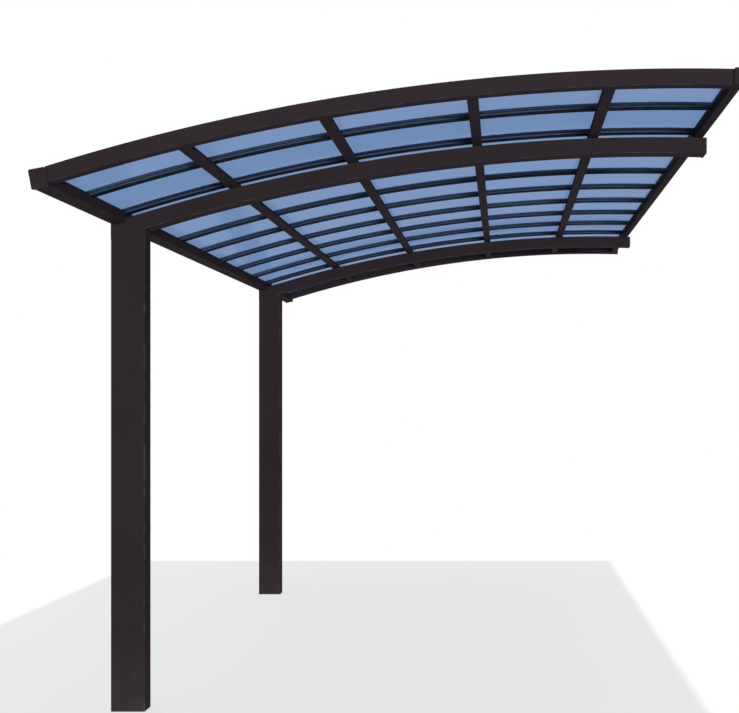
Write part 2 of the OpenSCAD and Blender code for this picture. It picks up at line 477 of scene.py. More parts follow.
@dataclass(frozen=True)
class PowderCoat:
    """Fine-textured powder coat on aluminium, with lighter edges (partly scuffing, partly a painted
    highlight) and a little dust on top.
    """

    name: str
    tone: Colour
    fleck: Colour
    scuff_and_highlight_tone: Colour
    dust: Colour = (0.30, 0.28, 0.26)
    roughness: float = 0.70
    specular: float = 0.008
    scuff_and_highlight_share: float = 0.35
    dusting: float = 0.07
    splashing: float = 0.03
    splash_h: float = 0.45
    grain_scale: float = 850.0
    peel_scale: float = 240.0
    patch_scale: float = 14.0
    drift_scale: float = 1.9
    peel_depth: float = 0.0006

    def paint(self, graph: NodeGraph) -> None:
        """Fills the coat's graph: flecks, slow drift, lighter edges that are partly scuffing and
        partly a painted highlight, dust, and an orange-peel bump.

        Args:
            graph: Empty graph of the coat's material.
        """
        point = graph.object_point()
        grain = graph.noise(point, self.grain_scale, 1.0)
        peel = graph.noise(point, self.peel_scale, 1.0)
        drift = graph.noise(point, self.drift_scale, 3.0)
        patches = graph.noise(point, self.patch_scale, 4.0)
        facing = graph.axis(graph.add("ShaderNodeNewGeometry", output="Normal"), "Z")
        lying = graph.ramp(facing, 0.35, 0.95)
        splash = graph.ramp(graph.axis(point, "Z"), self.splash_h, 0.0)
        flecks = graph.ramp(grain, 0.50, 0.78) * 0.55 + graph.ramp(drift, 0.25, 0.75) * 0.25
        # lighter fillet faces: partly scuffing, partly a painted edge highlight
        scuff_and_highlight = graph.add("ShaderNodeAttribute", {"attribute_name": EDGE_SCUFF_AND_HIGHLIGHT}, output="Fac")
        scuff_and_highlight = scuff_and_highlight * graph.ramp(patches, 0.42, 0.70) * self.scuff_and_highlight_share
        settled = lying * self.dusting + splash * self.splashing
        settled = settled * (0.35 + graph.ramp(patches, 0.25, 0.80) * 0.65)
        colour = graph.tint(flecks, self.tone, self.fleck)
        colour = graph.tint(scuff_and_highlight, colour, self.scuff_and_highlight_tone)
        colour = graph.tint(settled, colour, self.dust)
        roughness = self.roughness + (grain - 0.5) * 0.16 + (drift - 0.5) * 0.14 + settled * 0.6
        graph.surface(
            graph.principled(
                {
                    "Base Color": colour,
                    "Roughness": roughness,
                    "Specular IOR Level": self.specular,
                    "Normal": graph.bump(peel * 0.7 + grain * 0.3, 0.22, self.peel_depth),
                }
            )
        )


@dataclass(frozen=True)
class ClearSheet:
    """Blue clear sheet: it tints what is behind it, shines at a low angle, and holds dust."""

    name: str = "blue_clear_sheet"
    tint: Colour = (0.435, 0.548, 0.726)
    body: Colour = (0.16, 0.27, 0.52)
    dust: Colour = (0.55, 0.58, 0.62)
    body_share: float = 0.07
    shine: float = 0.15
    pitch: float = Layout.sheet_pitch
    strip_half: float = Layout.bar_w / 2
    silt_w: float = 0.060
    silt_x: float = 0.300
    flow_stretch: Point = (0.6, 9.0, 0.6)
    run_stretch: Point = (1.4, 48.0, 1.4)
    mote_scale: float = 160.0
    film_scale: float = 2.3
    ripple_depth: float = 0.002

    def paint(self, graph: NodeGraph) -> None:
        """Fills the sheet's graph: a tinted pass-through under a thin shiny skin with washed dust.

        Args:
            graph: Empty graph of the sheet's material.
        """
        point = graph.object_point()
        flow = graph.noise(graph.stretched(point, self.flow_stretch), 1.0, 3.0)
        runs = graph.noise(graph.stretched(point, self.run_stretch), 1.0, 3.0)
        motes = graph.noise(point, self.mote_scale, 3.0)
        film = graph.noise(point, self.film_scale, 4.0)
        along = {0: graph.axis(point, "Y"), 1: self.pitch / 2}
        off_joint = graph.add("ShaderNodeMath", {"operation": "PINGPONG"}, along)
        silt = graph.ramp(off_joint, self.strip_half + self.silt_w, self.strip_half)
        silt = silt + graph.ramp(graph.axis(point, "X"), self.silt_x, 0.0)
        dusty = graph.ramp(motes, 0.58, 0.85) * 0.05 + graph.ramp(film, 0.45, 0.80) * 0.03
        dusty = dusty + graph.ramp(runs, 0.42, 0.72) * (0.012 + silt * 0.06)
        ripple = graph.bump(flow * 0.8 + motes * 0.2, 0.05, self.ripple_depth)
        facing = {"Blend": 0.5, "Normal": ripple}
        slant = graph.add("ShaderNodeLayerWeight", None, facing, "Facing")
        clear = graph.add("ShaderNodeBsdfTransparent", None, {"Color": (*self.tint, 1.0)})
        skin = graph.principled(
            {
                "Base Color": graph.tint(dusty * 4.0, self.body, self.dust),
                "Roughness": 0.10 + dusty * 2.0 + flow * 0.06,
                "Specular IOR Level": 0.3,
                "Normal": ripple,
            }
        )
        share = self.body_share + slant**4.0 * self.shine + dusty
        graph.surface(graph.add("ShaderNodeMixShader", None, {0: share, 1: clear, 2: skin}))


@dataclass(frozen=True)
class SealRubber:
    """Black extruded rubber of the glazing seals, greyed a little by weather; it also makes the
    bars' black soles, which are painted shade.
    """

    name: str = "black_seal_rubber"
    tone: Colour = (0.003, 0.004, 0.007)
    chalk: Colour = (0.010, 0.012, 0.017)
    specular: float = 0.008
    pit_scale: float = 700.0
    pit_depth: float = 0.0004
    patch_scale: float = 22.0

    def paint(self, graph: NodeGraph) -> None:
        """Fills the rubber's graph: chalky patches and fine pits.

        Args:
            graph: Empty graph of the rubber's material.
        """
        point = graph.object_point()
        pits = graph.noise(point, self.pit_scale, 2.0)
        patches = graph.ramp(graph.noise(point, self.patch_scale, 4.0), 0.4, 0.8)
        graph.surface(
            graph.principled(
                {
                    "Base Color": graph.tint(patches, self.tone, self.chalk),
                    "Roughness": 0.62 + (pits - 0.5) * 0.2,
                    "Specular IOR Level": self.specular,
                    "Normal": graph.bump(pits, 0.15, self.pit_depth),
                }
            )
        )


@dataclass(frozen=True)
class ScrewSteel:
    """Passivated stainless steel of the screws, dulled where water stands."""

    name: str = "dull_screw_steel"
    tone: Colour = (0.42, 0.41, 0.40)
    stain: Colour = (0.16, 0.14, 0.12)
    stain_scale: float = 180.0
    grain_scale: float = 900.0
    grain_stretch: Point = (1.0, 1.0, 6.0)
    grain_depth: float = 0.0002

    def paint(self, graph: NodeGraph) -> None:
        """Fills the steel's graph: stains and a turned grain.

        Args:
            graph: Empty graph of the steel's material.
        """
        point = graph.object_point()
        stains = graph.ramp(graph.noise(point, self.stain_scale, 3.0), 0.45, 0.75)
        grain = graph.noise(graph.stretched(point, self.grain_stretch), self.grain_scale, 1.0)
        graph.surface(
            graph.principled(
                {
                    "Base Color": graph.tint(stains, self.tone, self.stain),
                    "Metallic": 0.95 - stains * 0.3,
                    "Roughness": 0.34 + stains * 0.25 + (grain - 0.5) * 0.1,
                    "Normal": graph.bump(grain, 0.1, self.grain_depth),
                }
            )
        )


@dataclass(frozen=True)
class StudioFloor:
    """Pale matt floor round the canopy, which melts into a white surround."""

    name: str = "pale_studio_floor"
    tone: Colour = (0.17, 0.17, 0.17)
    shade: Colour = (0.15, 0.15, 0.15)
    glow: Colour = (0.70, 0.70, 0.70)
    low_x: float = -1.61
    high_x: float = 2.90
    rear_y: float = 5.38
    soft: float = 0.04
    cloud_scale: float = 0.7

    def paint(self, graph: NodeGraph) -> None:
        """Fills the floor's graph: faint clouding inside the pale area, white outside it.

        Args:
            graph: Empty graph of the floor's material.
        """
        point = graph.object_point()
        clouds = graph.noise(point, self.cloud_scale, 4.0)
        x, y = graph.axis(point, "X"), graph.axis(point, "Y")
        inside = graph.ramp(x, self.low_x - self.soft, self.low_x + self.soft)
        inside = inside * graph.ramp(x, self.high_x + self.soft, self.high_x - self.soft)
        inside = inside * graph.ramp(y, self.rear_y + self.soft, self.rear_y - self.soft)
        matt = graph.principled(
            {
                "Base Color": graph.tint(clouds, self.tone, self.shade),
                "Roughness": 0.85 + (clouds - 0.5) * 0.1,
                "Specular IOR Level": 0.05,
                "Emission Color": (*self.glow, 1.0),
                "Emission Strength": 1.0,
            }
        )
        white = graph.add("ShaderNodeEmission", None, {"Color": (1, 1, 1, 1), "Strength": 1.0})
        graph.surface(graph.add("ShaderNodeMixShader", None, {0: inside, 1: white, 2: matt}))


BRONZE = PowderCoat(
    "bronze_powder_coat",
    tone=(0.0125, 0.0093, 0.0115),
    fleck=(0.0200, 0.0155, 0.0185),
    # edge colour: scuffed coat and a painted edge highlight
    scuff_and_highlight_tone=(0.056, 0.048, 0.050),
)
SLATE = PowderCoat(
    "slate_bar_coat",
    tone=(0.018, 0.031, 0.059),
    fleck=(0.028, 0.044, 0.078),
    # edge colour: scuffed coat and a painted edge highlight
    scuff_and_highlight_tone=(0.10, 0.11, 0.14),
)
CLEAR = ClearSheet()
RUBBER = SealRubber()
STEEL = ScrewSteel()
FLOOR = StudioFloor()


class Shaper:
    """A mesh in the making: outlines that are rounded, then swept along the arc or the roof.

    A face narrower than NARROW is a fillet. Edges under the angle FLAT, or ROUND between two
    fillets, are smooth. Points within TOUCH of a plane lie on it.
    """

    NARROW: float = 0.0035
    FLAT: float = math.radians(3.0)
    ROUND: float = math.radians(50.0)
    TOUCH: float = 1e-6
    ARC_STEPS: int = 96
    ROUND_SEGMENTS: int = 4
    EASE_SEGMENTS: int = 2

    def __init__(self, layout: Layout) -> None:
        """Starts an empty mesh on a layout."""
        self.layout = layout
        self.mesh = bmesh.new()

    def outline(self, corners: Iterable[Corner], place: Matrix) -> bmesh.types.BMFace:
        """Draws a closed outline as one face.

        Args:
            corners: Offset across, height and radius of each corner.
            place: Frame in whose XZ plane the outline lies.

        Returns:
            The face inside the outline, its corners rounded.
        """
        corners = list(corners)
        points = [self.mesh.verts.new(place @ Vector((x, 0, z))) for x, z, _ in corners]
        face = self.mesh.faces.new(points)
        for radius in sorted({r for _, _, r in corners if r > 0}):
            rounded = bmesh.ops.bevel(
                self.mesh,
                geom=[v for v, (_, _, r) in zip(points, corners) if r == radius],
                offset=radius,
                affect="VERTICES",
                segments=self.ROUND_SEGMENTS,
                profile=0.5,
                material=-1,
            )
            face = rounded["verts"][0].link_faces[0]
        return face

    def along_arc(
        self, corners: Iterable[Corner], y: float, phis: Span, steps: int = ARC_STEPS
    ) -> tuple[list[bmesh.types.BMVert], list[bmesh.types.BMVert]]:
        """Sweeps an outline of stations along Y and heights along the roof's arc.

        Args:
            corners: Station from y, height above the members' circle and radius of each corner.
            y: Station that the corners are measured from.
            phis: Angles of the two ends.
            steps: Number of steps along the arc.

        Returns:
            The vertices of the low end and those of the high end.
        """
        place = self.layout.roof_frame(phis[0]) @ Matrix.Translation((0, y, 0))
        face = self.outline(corners, place @ Matrix.Rotation(math.pi / 2, 4, "Z"))
        low_end = list(face.verts)
        swept = bmesh.ops.spin(
            self.mesh,
            geom=[face],
            cent=self.layout.centre,
            axis=(0, 1, 0),
            angle=phis[1] - phis[0],
            steps=steps,
        )
        return low_end, [v for v in swept["geom_last"] if isinstance(v, bmesh.types.BMVert)]

    def from_gutter(self, corners: Iterable[Corner], y: float, steps: int = ARC_STEPS) -> None:
        """Sweeps an outline from the gutter's inner wall to the high beam.

        Args:
            corners: Station from y, height above the members' circle and radius of each corner.
            y: Station that the corners are measured from.
            steps: Number of steps along the arc.
        """
        lay = self.layout
        low_end, _ = self.along_arc(corners, y, lay.bar_phis, steps)
        for vert in low_end:
            radius = (vert.co - lay.centre).xz.length
            vert.co.xz = lay.beside_gutter(lay.gutter_w + lay.seat_gap, radius).xz

    def along_roof(self, corners: Iterable[Corner], stand: Matrix, stations: Span) -> None:
        """Runs an outline of offsets and heights straight along the roof.

        Args:
            corners: Offset, height and radius of each corner.
            stand: Frame in which the outline stands.
            stations: Stations of the two ends along Y.
        """
        place = stand @ Matrix.Translation((0, stations[0], 0))
        self.push(self.outline(corners, place), Vector((0, stations[1] - stations[0], 0)))

    def push(self, face: bmesh.types.BMFace, way: Vector) -> list[bmesh.types.BMVert]:
        """Extrudes a face.

        Args:
            face: The face, which stays as the near end.
            way: Direction and length.

        Returns:
            The vertices of the far end.
        """
        made = bmesh.ops.extrude_face_region(self.mesh, geom=[face])["geom"]
        far = [v for v in made if isinstance(v, bmesh.types.BMVert)]
        bmesh.ops.translate(self.mesh, verts=far, vec=way)
        return far

    def ease(self, chosen: Callable[[bmesh.types.BMEdge], bool], width: float) -> None:
        """Bevels the edges that a test picks.

        Args:
            chosen: Test on an edge.
            width: Width of the bevel.
        """
        bmesh.ops.bevel(
            self.mesh,
            geom=[e for e in self.mesh.edges if chosen(e)],
            offset=width,
            affect="EDGES",
            segments=self.EASE_SEGMENTS,
            profile=0.5,
            material=-1,
        )

    def publish(
        self,
        name: str,
        finishes: Sequence[Finish],
        slot: Slot,
        stands_for: Sequence[str] = (),
    ) -> bpy.types.Object:
        """Turns the mesh into a piece of the scene.

        Args:
            name: Name of the piece.
            finishes: Finishes, in the order of the faces' material numbers.
            slot: Material slot of the record; not used.
            stands_for: Nodes that the piece replaces.

        Returns:
            The new object.
        """
        bmesh.ops.recalc_face_normals(self.mesh, faces=self.mesh.faces[:])
        self._shade()
        data = bpy.data.meshes.new(name)
        self.mesh.to_mesh(data)
        self.mesh.free()
        for finish in finishes:
            data.materials.append(material_of(finish))
        piece = bpy.data.objects.new(name, data)
        bpy.context.scene.collection.objects.link(piece)
        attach(piece, "root")
        if stands_for:
            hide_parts(*stands_for)
        LOG.info("%s: %d faces", name, len(data.polygons))
        return piece

    def _shade(self) -> None:
        """Smooths the arcs and the fillets, keeps flats flat, and marks the fillets for lighter
        edges, partly scuffing and partly a painted highlight.
        """
        scuff_and_highlight_layer = self.mesh.faces.layers.float.new(EDGE_SCUFF_AND_HIGHLIGHT)
        narrow = {
            f
            for f in self.mesh.faces
            if len(f.edges) <= 4 and min(e.calc_length() for e in f.edges) < self.NARROW
        }
        for face in self.mesh.faces:
            face.smooth = True
            face[scuff_and_highlight_layer] = 1.0 if face in narrow else 0.0
        for edge in self.mesh.edges:
            angle = edge.calc_face_angle(math.pi)
            fillet = all(f in narrow for f in edge.link_faces)
            edge.smooth = angle < (self.ROUND if fillet else self.FLAT)


@dataclass(frozen=True)
class Posts:
    """Two rectangular posts, their tops cut to the arms' underside."""

    layout: Layout
    corner_r: float = 0.005
    foot_edge: float = 0.0015

    def build(self) -> None:
        """Builds and dresses both posts."""
        self._post("front_post", 0.0)
        self._post("rear_post", self.layout.rear_y)

    def _post(self, node: str, y: float) -> None:
        """Extrudes one post's rounded outline from the ground to the arm.

        Args:
            node: Name of the post's node.
            y: Station of the post.
        """
        lay = self.layout
        shaper = Shaper(lay)
        half_w, half_d = lay.post_w / 2, lay.frame_d / 2
        corners = box_outline((-half_w, half_w), (-half_d, half_d), self.corner_r)
        lying = Matrix.Translation((0, y, 0)) @ Matrix.Rotation(-math.pi / 2, 4, "X")
        top = shaper.push(shaper.outline(corners, lying), Vector((0, 0, 1)))
        for vert in top:
            vert.co.z = lay.height_at(lay.arm_low_r - lay.seat_gap, vert.co.x)
        shaper.ease(lambda e: all(abs(v.co.z) < shaper.TOUCH for v in e.verts), self.foot_edge)
        shaper.publish(f"{node}_section", [BRONZE], Slot.FRAME, [node])


@dataclass(frozen=True)
class Arms:
    """Two curved box arms with flush plates in their low ends and caps on their free ends."""

    layout: Layout
    corner_r: float = 0.004
    overrun: float = 0.004
    plug_t: float = 0.003
    cap_t: float = 0.012
    cap_lip: float = 0.001
    cap_r: float = 0.003
    cap_edge: float = 0.0012
    notch_side: float = 0.0003
    screw_r: float = 0.0042
    screw_side: float = 0.028

    @property
    def end_x(self) -> float:
        """Station of the arms' free ends."""
        return self.layout.high_beam_x + self.layout.high_beam_w / 2 + self.overrun

    def build(self) -> None:
        """Builds and dresses the arms, their caps and the caps' screws."""
        lay = self.layout
        start_x = lay.outer_x + self.plug_t + lay.seat_gap
        for node, y in (("front_arm", 0.0), ("rear_arm", lay.rear_y)):
            shaper = Shaper(lay)
            self._run(shaper, y, start_x, self.end_x, shaper.ARC_STEPS)
            self._notch(shaper)
            shaper.publish(f"{node}_section", [BRONZE], Slot.FRAME, [node])
        caps = Shaper(lay)
        for y in (0.0, lay.rear_y):
            self._run(caps, y, lay.outer_x, lay.outer_x + self.plug_t, 1)
            self._cap(caps, y)
        caps.publish("arm_end_cap_plates", [BRONZE], Slot.FRAME, ["arm_end_caps"])
        screws = ScrewTray(lay, self.screw_r, BRONZE)
        outer_x = self.end_x + lay.seat_gap + self.cap_t
        middle = lay.height_at((lay.arm_low_r + lay.arm_top_r) / 2, self.end_x)
        for y in (0.0, lay.rear_y):
            for side in (-self.screw_side, self.screw_side):
                screws.add(Vector((outer_x, y + side, middle)), Vector((1, 0, 0)))
        screws.publish("arm_cap_screws", Slot.FRAME)

    def _run(self, shaper: Shaper, y: float, low_x: float, high_x: float, steps: int) -> None:
        """Sweeps the arm's outline between two upright planes.

        Args:
            shaper: Mesh that takes the sweep.
            y: Station of the arm.
            low_x: Station of the low end.
            high_x: Station of the high end.
            steps: Number of steps along the arc.
        """
        lay = self.layout
        half_d, low, high = lay.frame_d / 2, lay.arm_low_r - lay.base_r, lay.arm_top_r - lay.base_r
        corners = box_outline((-half_d, half_d), (low, high), self.corner_r)
        phis = (lay.angle_at(lay.arm_top_r, low_x), lay.angle_at(lay.arm_top_r, high_x))
        ends = shaper.along_arc(corners, y, phis, steps)
        for verts, x in zip(ends, (low_x, high_x)):
            for vert in verts:
                radius = (vert.co - lay.centre).xz.length
                vert.co.x, vert.co.z = x, lay.height_at(radius, x)

    def _notch(self, shaper: Shaper) -> None:
        """Lowers the arm's top under the gutter, between two cut sides.

        Args:
            shaper: Mesh that holds one arm.
        """
        lay, gap, mesh = self.layout, self.layout.seat_gap, shaper.mesh
        stand = lay.gutter_frame
        low, high = -gap, lay.gutter_w + gap
        for offset in (low - self.notch_side, low, high, high + self.notch_side):
            bmesh.ops.bisect_plane(
                mesh,
                geom=[*mesh.verts, *mesh.edges, *mesh.faces],
                plane_co=stand @ Vector((offset, 0, 0)),
                plane_no=stand.to_3x3() @ Vector((1, 0, 0)),
            )
        margin = self.notch_side / 2
        for vert in mesh.verts:
            local = stand.inverted() @ vert.co
            if low - margin < local.x < high + margin and local.z > -gap:
                vert.co = stand @ Vector((local.x, local.y, -gap))

    def _cap(self, shaper: Shaper, y: float) -> None:
        """Makes the cap on one arm's free end, its lower outer edge rounded.

        Args:
            shaper: Mesh that takes the cap.
            y: Station of the arm.
        """
        lay = self.layout
        low = lay.height_at(lay.arm_low_r, self.end_x) - self.cap_lip
        high = lay.height_at(lay.arm_top_r, self.end_x)
        near = self.end_x + lay.seat_gap
        far = near + self.cap_t
        edge = self.cap_edge
        corners = [(near, low, 0), (far, low, self.cap_r), (far, high, edge), (near, high, 0)]
        half_d = lay.frame_d / 2 + self.cap_lip
        face = shaper.outline(corners, Matrix.Translation((0, y - half_d, 0)))
        shaper.push(face, Vector((0, 2 * half_d, 0)))


class ScrewRing(NamedTuple):
    """One step of a screw's shape, its lengths in head radii."""

    sides: int
    low_r: float
    high_r: float
    height: float
    material: int


SCREW_RINGS = {
    "washer": ScrewRing(sides=12, low_r=1.45, high_r=1.35, height=0.30, material=1),
    "flange": ScrewRing(sides=12, low_r=1.25, high_r=1.05, height=0.26, material=0),
    "hex_head": ScrewRing(sides=6, low_r=0.86, high_r=0.80, height=0.72, material=0),
}


@dataclass
class ScrewTray:
    """Screws of one size, gathered into one piece: a hex head on a flange over a rubber washer."""

    layout: Layout
    head_r: float
    finish: Finish = STEEL
    shaper: Shaper = field(init=False)

    def __post_init__(self) -> None:
        """Starts the mesh that takes the screws."""
        self.shaper = Shaper(self.layout)

    def add(self, seat: Vector, way: Vector) -> None:
        """Sets one screw.

        Args:
            seat: Point of the surface under the screw's middle.
            way: Direction in which the head stands out.
        """
        turn = way.to_track_quat("Z", "Y").to_matrix().to_4x4()
        rise = 0.0
        for ring in SCREW_RINGS.values():
            depth = ring.height * self.head_r
            place = Matrix.Translation(seat) @ turn @ Matrix.Translation((0, 0, rise + depth / 2))
            made = bmesh.ops.create_cone(
                self.shaper.mesh,
                cap_ends=True,
                segments=ring.sides,
                radius1=ring.low_r * self.head_r,
                radius2=ring.high_r * self.head_r,
                depth=depth,
                matrix=place,
            )
            for face in {f for v in made["verts"] for f in v.link_faces}:
                face.material_index = ring.material
            rise += depth

    def publish(self, name: str, slot: Slot) -> None:
        """Dresses the gathered screws.

        Args:
            name: Name of the piece.
            slot: Material slot of the record.
        """
        self.shaper.publish(name, [self.finish, RUBBER], slot)


@dataclass(frozen=True)
class RoofEdges:
    """The gutter, the high beam, the arched fascias, and the caps on the straight edges' ends."""

    layout: Layout
    gutter_wall: float = 0.003
    gutter_r: float = 0.003
    gutter_lip_w: float = 0.008
    wall: float = 0.003
    corner_r: float = 0.003
    drip_h: float = 0.014
    fold_r: float = 0.0012
    cap_t: float = 0.012
    cap_lip: float = 0.003
    cap_drop: float = 0.005
    cap_r: float = 0.006
    cap_edge: float = 0.002
    screw_r: float = 0.0040
    screw_shares: Span = (0.22, 0.78)

    def build(self) -> None:
        """Builds and dresses the edges, their caps and the caps' screws."""
        lay = self.layout
        stations = (lay.roof_front_y, lay.roof_rear_y)
        for node, corners, stand in (
            ("gutter", self._gutter_outline(), lay.gutter_frame),
            ("high_beam", self._beam_outline(), lay.roof_frame(lay.high_phi)),
        ):
            shaper = Shaper(lay)
            shaper.along_roof(corners, stand, stations)
            shaper.publish(f"{node}_section", [BRONZE], Slot.FRAME, [node])
        for node, y, end in (
            ("front_fascia", lay.roof_front_y, End.FRONT),
            ("rear_fascia", lay.roof_rear_y, End.REAR),
        ):
            shaper = Shaper(lay)
            shaper.from_gutter(self._fascia_outline(-end.value), y)
            shaper.publish(f"{node}_section", [BRONZE], Slot.FRAME, [node])
        self._caps()

    def _gutter_outline(self) -> list[Corner]:
        """Draws the trough, with its ledge for the sheets and its turned-in outer lip.

        Returns:
            The outline's corners, in the gutter's frame.
        """
        lay, wall, r, fold = self.layout, self.gutter_wall, self.gutter_r, self.fold_r
        wide, high, brim = lay.gutter_w, lay.gutter_h, wall + self.gutter_lip_w
        to_gutter = lay.gutter_frame.inverted()
        ledge = to_gutter @ lay.ledge_point
        seat = to_gutter @ lay.beside_gutter(wide, lay.base_r + lay.slot_low)
        return [
            (0, 0, r),
            (wide, 0, r),
            (wide, seat.z, fold),
            (ledge.x, ledge.z, fold),
            (ledge.x, ledge.z - wall, fold),
            (wide - wall, ledge.z - wall, 0),
            (wide - wall, wall, 0),
            (wall, wall, 0),
            (wall, high - wall, 0),
            (brim, high - wall, fold),
            (brim, high, fold),
            (0, high, r),
        ]

    def _beam_outline(self) -> list[Corner]:
        """Draws the high beam, slotted for the sheets and with an outward drip edge.

        Returns:
            The outline's corners, in the roof's frame at the beam.
        """
        lay, wall, r, fold = self.layout, self.wall, self.corner_r, self.fold_r
        left, right, high = -lay.high_beam_w / 2, lay.high_beam_w / 2, lay.fascia_h
        out = right + lay.drip_w
        return [
            (left, 0, r),
            (right, 0, r),
            (right, high - wall, 0),
            (out - wall, high - wall, 0),
            (out - wall, high - self.drip_h, fold),
            (out, high - self.drip_h, fold),
            (out, high, r),
            (left, high, r),
            (left, lay.slot_high, 0),
            (left + lay.slot_d, lay.slot_high, 0),
            (left + lay.slot_d, lay.slot_low, 0),
            (left, lay.slot_low, 0),
        ]

    def _fascia_outline(self, inward: int) -> list[Corner]:
        """Draws a fascia, slotted for the sheets.

        Args:
            inward: Way from the outer face to the sheets, 1 or -1 along Y.

        Returns:
            The outline's corners, measured from the outer face.
        """
        lay, r = self.layout, self.corner_r
        wide, high = lay.fascia_w, lay.fascia_h
        corners = [
            (0, -lay.fascia_drop, r),
            (wide, -lay.fascia_drop, r),
            (wide, lay.slot_low, 0),
            (wide - lay.slot_d, lay.slot_low, 0),
            (wide - lay.slot_d, lay.slot_high, 0),
            (wide, lay.slot_high, 0),
            (wide, high, r),
            (0, high, r),
        ]
        return [(inward * across, up, radius) for across, up, radius in corners]

    def _caps(self) -> None:
        """Makes the four caps as one piece, eased on their outer rims, and their screws."""
        lay, lip = self.layout, self.cap_lip
        beam_half = lay.high_beam_w / 2
        sections = (
            (lay.gutter_frame, 0.0, lay.gutter_w, lay.gutter_h),
            (lay.roof_frame(lay.high_phi), -beam_half, beam_half + lay.drip_w, lay.fascia_h),
        )
        caps, screws = Shaper(lay), ScrewTray(lay, self.screw_r, BRONZE)
        outer: list[float] = []
        for end, face_y in ((End.FRONT, lay.roof_front_y), (End.REAR, lay.roof_rear_y)):
            near = face_y + end.value * lay.seat_gap
            far = near + end.value * self.cap_t
            outer.append(far)
            for stand, left, right, top in sections:
                across, up = (left - lip, right + lip), (-self.cap_drop, top + lip)
                caps.along_roof(box_outline(across, up, self.cap_r), stand, (near, far))
                for share in self.screw_shares:
                    local = Vector(((left + right) / 2, far, share * top))
                    screws.add(stand @ local, Vector((0, end.value, 0)))

        def on_rim(edge: bmesh.types.BMEdge) -> bool:
            """Tells whether an edge lies in the outer face of a cap."""
            return any(all(abs(v.co.y - y) < caps.TOUCH for v in edge.verts) for y in outer)

        caps.ease(on_rim, self.cap_edge)
        caps.publish("edge_end_cap_plates", [BRONZE], Slot.FRAME, ["edge_end_caps"])
        screws.publish("edge_cap_screws", Slot.FRAME)


@dataclass(frozen=True)
class Purlins:
    """Straight box purlins that lie on the arms, between the fascias."""

    layout: Layout
    width: float = 0.050
    corner_r: float = 0.002
    shares: tuple[float, ...] = (0.190, 0.399, 0.6165, 0.817)

    def build(self) -> None:
        """Builds and dresses the purlins."""
        lay = self.layout
        reach = lay.fascia_w + lay.seat_gap
        stations = (lay.roof_front_y + reach, lay.roof_rear_y - reach)
        half = self.width / 2
        corners = box_outline((-half, half), (0.0, lay.purlin_h), self.corner_r)
        post_phi = lay.angle_at(lay.base_r, 0.0)
        for number, share in enumerate(self.shares, start=1):
            shaper = Shaper(lay)
            phi = post_phi + share * (lay.high_phi - post_phi)
            shaper.along_roof(corners, lay.roof_frame(phi), stations)
            shaper.publish(f"purlin_{number}_section", [BRONZE], Slot.FRAME, [f"purlin_{number}"])


